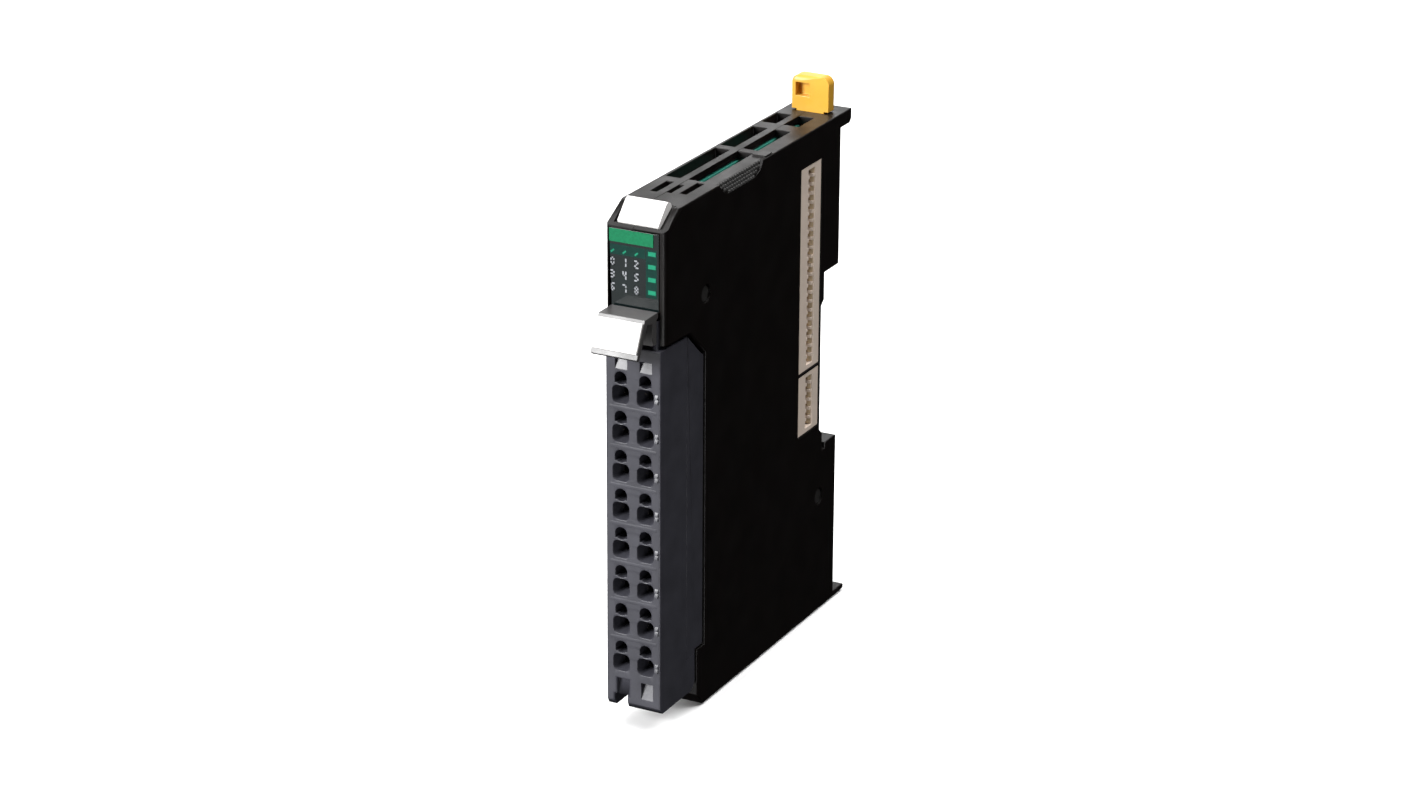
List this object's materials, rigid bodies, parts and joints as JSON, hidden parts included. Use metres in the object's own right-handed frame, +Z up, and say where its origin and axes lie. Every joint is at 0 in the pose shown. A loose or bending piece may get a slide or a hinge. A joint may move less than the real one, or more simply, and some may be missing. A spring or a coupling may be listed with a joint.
{
  "type": "plc input output module",
  "caption": "Slim rail-mounted input/output module with a hinged push-in terminal block, lock lever, sliding rail hook and side bus connector.",
  "frame": {"origin": "middle of the rail's front face, on the module's centre plane, where the seat lands meet the rail", "axes": "+Z up along the case, +Y from the front panel towards the rail and the cabinet's back wall, +X to the right side with the bus socket"},
  "size_m": [0.0138, 0.0839, 0.107],
  "materials": {
    "case_plastic": "fine satin moulded polycarbonate blend, black",
    "window_smoke": "smoked clear polycarbonate",
    "label_green": "printed green film",
    "lens_clear": "clear acrylic light pipes",
    "led_lens": "clear epoxy lamp bodies",
    "marker_white": "white matt marker plate",
    "board_green": "green solder mask on glass-epoxy",
    "header_black": "black glass-filled moulding",
    "tinned_metal": "tin plate",
    "bus_cream": "cream glass-filled moulding",
    "contact_gold": "gold flash over copper alloy",
    "chip_black": "moulded epoxy",
    "capacitor_tan": "fired ceramic",
    "ferrite_grey": "ferrite",
    "can_aluminium": "drawn can",
    "hook_yellow": "yellow acetal",
    "block_grey": "dark grey satin moulding",
    "spring_steel": "bright spring strip",
    "bar_copper": "tinned copper bar",
    "lever_grey": "mid grey satin moulding"
  },
  "bodies": {
    "case": {"case_left": "case_plastic", "case_right": "case_plastic", "indicator_window": "window_smoke", "label_strip": "label_green", "light_guide": "lens_clear", "status_leds": "led_lens", "unit_marker": "marker_white", "circuit_board": "board_green", "front_header": "header_black", "header_blades": "tinned_metal", "bus_socket_long": "bus_cream", "bus_socket_short": "bus_cream", "bus_socket_contacts": "contact_gold", "bus_plug_long": "bus_cream", "bus_plug_short": "bus_cream", "bus_plug_contacts": "contact_gold", "bus_controller_chip": "chip_black", "channel_isolators": "chip_black", "chip_resistors": "chip_black", "chip_capacitors": "capacitor_tan", "power_inductor": "ferrite_grey", "bulk_capacitors": "can_aluminium"},
    "hook": {"din_hook": "hook_yellow"},
    "block": {"block_housing": "block_grey", "block_rear_cover": "block_grey", "clamp_springs": "spring_steel", "current_bars": "bar_copper"},
    "lever": {"lock_lever": "lever_grey", "lever_marker": "marker_white"}
  },
  "joints": [
    {"name": "hook_slide", "type": "slide", "parent": "case", "child": "hook", "axis": [0, 0, 1], "range_m": [0, 0.0035]},
    {"name": "block_tilt", "type": "hinge", "parent": "case", "child": "block", "pos_m": [0, -0.0548, -0.0446], "axis": [1, 0, 0], "range_deg": [0, 30]},
    {"name": "lever_press", "type": "hinge", "parent": "block", "child": "lever", "pos_m": [0, -0.0563, 0.0266], "axis": [1, 0, 0], "range_deg": [0, 6], "stiffness_Nm_per_rad": 0.08}
  ]
}
